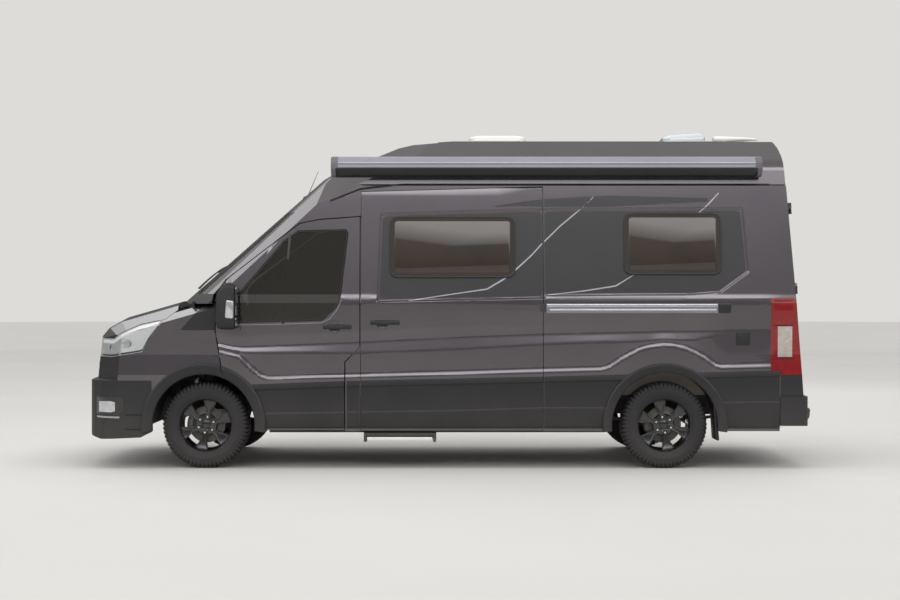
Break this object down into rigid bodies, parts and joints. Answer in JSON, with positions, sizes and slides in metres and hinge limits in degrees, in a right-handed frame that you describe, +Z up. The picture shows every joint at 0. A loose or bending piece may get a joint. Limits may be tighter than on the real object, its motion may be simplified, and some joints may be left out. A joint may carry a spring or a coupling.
{
  "type": "camper van",
  "caption": "High-roof panel-van camper with sliding side door, roof-edge awning, rooflights, pull-out step and tow ball; wheels roll and steer, doors and bonnet open.",
  "frame": {"origin": "on the ground, midway along and across the whole van", "axes": "+X forward along the van, +Y to its left, +Z up"},
  "size_m": [6.186, 2.474, 2.862],
  "materials": {
    "paint": "dark grey metallic lacquer",
    "underbody": "satin black underbody paint",
    "black_plastic": "grained moulded plastic",
    "lamp_lens": "clear moulded lens",
    "red_lens": "red moulded lens",
    "cab_glass": "tinted safety glass",
    "tinted_window": "dark tinted acrylic",
    "tyre": "all-terrain tread rubber",
    "rim": "gloss black painted alloy",
    "steel": "dull black chassis steel",
    "interior_plastic": "soft black trim",
    "seat_cloth": "woven seat cloth",
    "furniture_board": "laminated board",
    "anodised": "anodised aluminium",
    "white_plastic": "white moulded plastic"
  },
  "bodies": {
    "root": {"floor_pan": "underbody", "side_left": "paint", "side_right": "paint", "roof": "paint", "slide_door": "paint", "front_wings": "paint", "scuttle": "black_plastic", "grille": "black_plastic", "front_bumper": "black_plastic", "rear_bumper": "black_plastic", "body_trims": "black_plastic", "wheel_liners": "black_plastic", "headlamps": "lamp_lens", "tail_lamps": "red_lens", "windscreen": "cab_glass", "living_windows": "tinted_window", "front_subframe": "steel", "rear_axle": "steel", "engine_block": "steel", "exhaust": "steel", "tanks": "black_plastic", "tow_bar": "steel", "dashboard": "interior_plastic", "cab_seats": "seat_cloth", "furniture": "furniture_board", "awning_case": "anodised", "slide_rail": "anodised", "roof_vents": "white_plastic", "aerial_base": "white_plastic", "step_housing": "steel"},
    "cab_door_left": {"cab_door_left": "paint", "cab_window_left": "cab_glass", "mirror_left": "black_plastic", "door_trim_left": "black_plastic"},
    "cab_door_right": {"cab_door_right": "paint", "cab_window_right": "cab_glass", "mirror_right": "black_plastic", "door_trim_right": "black_plastic"},
    "rear_door_left": {"rear_door_left": "paint", "rear_window_left": "tinted_window"},
    "rear_door_right": {"rear_door_right": "paint", "rear_window_right": "tinted_window"},
    "bonnet": {"bonnet": "paint"},
    "entry_step": {"entry_step": "anodised"},
    "tv_aerial": {"tv_aerial": "white_plastic"},
    "steering_wheel": {"steering_wheel": "interior_plastic"},
    "knuckle_left": {"knuckle_left": "steel"},
    "knuckle_right": {"knuckle_right": "steel"},
    "wheel_front_left": {"tyre_front_left": "tyre", "rim_front_left": "rim"},
    "wheel_front_right": {"tyre_front_right": "tyre", "rim_front_right": "rim"},
    "wheel_rear_left": {"tyre_rear_left": "tyre", "rim_rear_left": "rim"},
    "wheel_rear_right": {"tyre_rear_right": "tyre", "rim_rear_right": "rim"}
  },
  "joints": [
    {"name": "cab_door_left_hinge", "type": "hinge", "parent": "root", "child": "cab_door_left", "pos_m": [1.99, 1.034, 0.9], "axis": [0, 0, -1], "range_deg": [0, 70]},
    {"name": "cab_door_right_hinge", "type": "hinge", "parent": "root", "child": "cab_door_right", "pos_m": [1.99, -1.034, 0.9], "axis": [0, 0, 1], "range_deg": [0, 70]},
    {"name": "rear_door_left_hinge", "type": "hinge", "parent": "root", "child": "rear_door_left", "pos_m": [-2.845, 0.872, 0.6], "axis": [-0.075, 0, -0.9972], "range_deg": [0, 180]},
    {"name": "rear_door_right_hinge", "type": "hinge", "parent": "root", "child": "rear_door_right", "pos_m": [-2.845, -0.872, 0.6], "axis": [0.075, 0, 0.9972], "range_deg": [0, 180]},
    {"name": "bonnet_hinge", "type": "hinge", "parent": "root", "child": "bonnet", "pos_m": [2.266, 0, 1.374], "axis": [0, -1, 0], "range_deg": [0, 55]},
    {"name": "step_slide", "type": "slide", "parent": "root", "child": "entry_step", "axis": [0, 1, 0], "range_m": [0, 0.25]},
    {"name": "aerial_swivel", "type": "hinge", "parent": "root", "child": "tv_aerial", "pos_m": [-2.386, -0.48, 2.8], "axis": [0, 0, 1], "range_deg": [-180, 180]},
    {"name": "steer_left", "type": "hinge", "parent": "root", "child": "knuckle_left", "pos_m": [2.07, 0.77, 0.235], "axis": [0, -0.2026, 0.9793], "range_deg": [-33, 33]},
    {"name": "steer_right", "type": "hinge", "parent": "root", "child": "knuckle_right", "pos_m": [2.07, -0.77, 0.235], "axis": [0, 0.2026, 0.9793], "range_deg": [-33, 33]},
    {"name": "steering_column", "type": "hinge", "parent": "root", "child": "steering_wheel", "pos_m": [1.718, -0.38, 1.075], "axis": [-0.8829, 0, 0.4695], "range_deg": [-530, 530]},
    {"name": "roll_front_left", "type": "hinge", "parent": "knuckle_left", "child": "wheel_front_left", "pos_m": [2.07, 0.8655, 0.352], "axis": [0, 1, 0], "continuous": true},
    {"name": "roll_front_right", "type": "hinge", "parent": "knuckle_right", "child": "wheel_front_right", "pos_m": [2.07, -0.8655, 0.352], "axis": [0, 1, 0], "continuous": true},
    {"name": "roll_rear_left", "type": "hinge", "parent": "root", "child": "wheel_rear_left", "pos_m": [-1.68, 0.8795, 0.352], "axis": [0, 1, 0], "continuous": true},
    {"name": "roll_rear_right", "type": "hinge", "parent": "root", "child": "wheel_rear_right", "pos_m": [-1.68, -0.8795, 0.352], "axis": [0, 1, 0], "continuous": true}
  ],
  "couplings": [
    {"joint": "steer_right", "follows": "steer_left", "ratio": 1},
    {"joint": "steering_column", "follows": "steer_left", "ratio": 15.5}
  ]
}
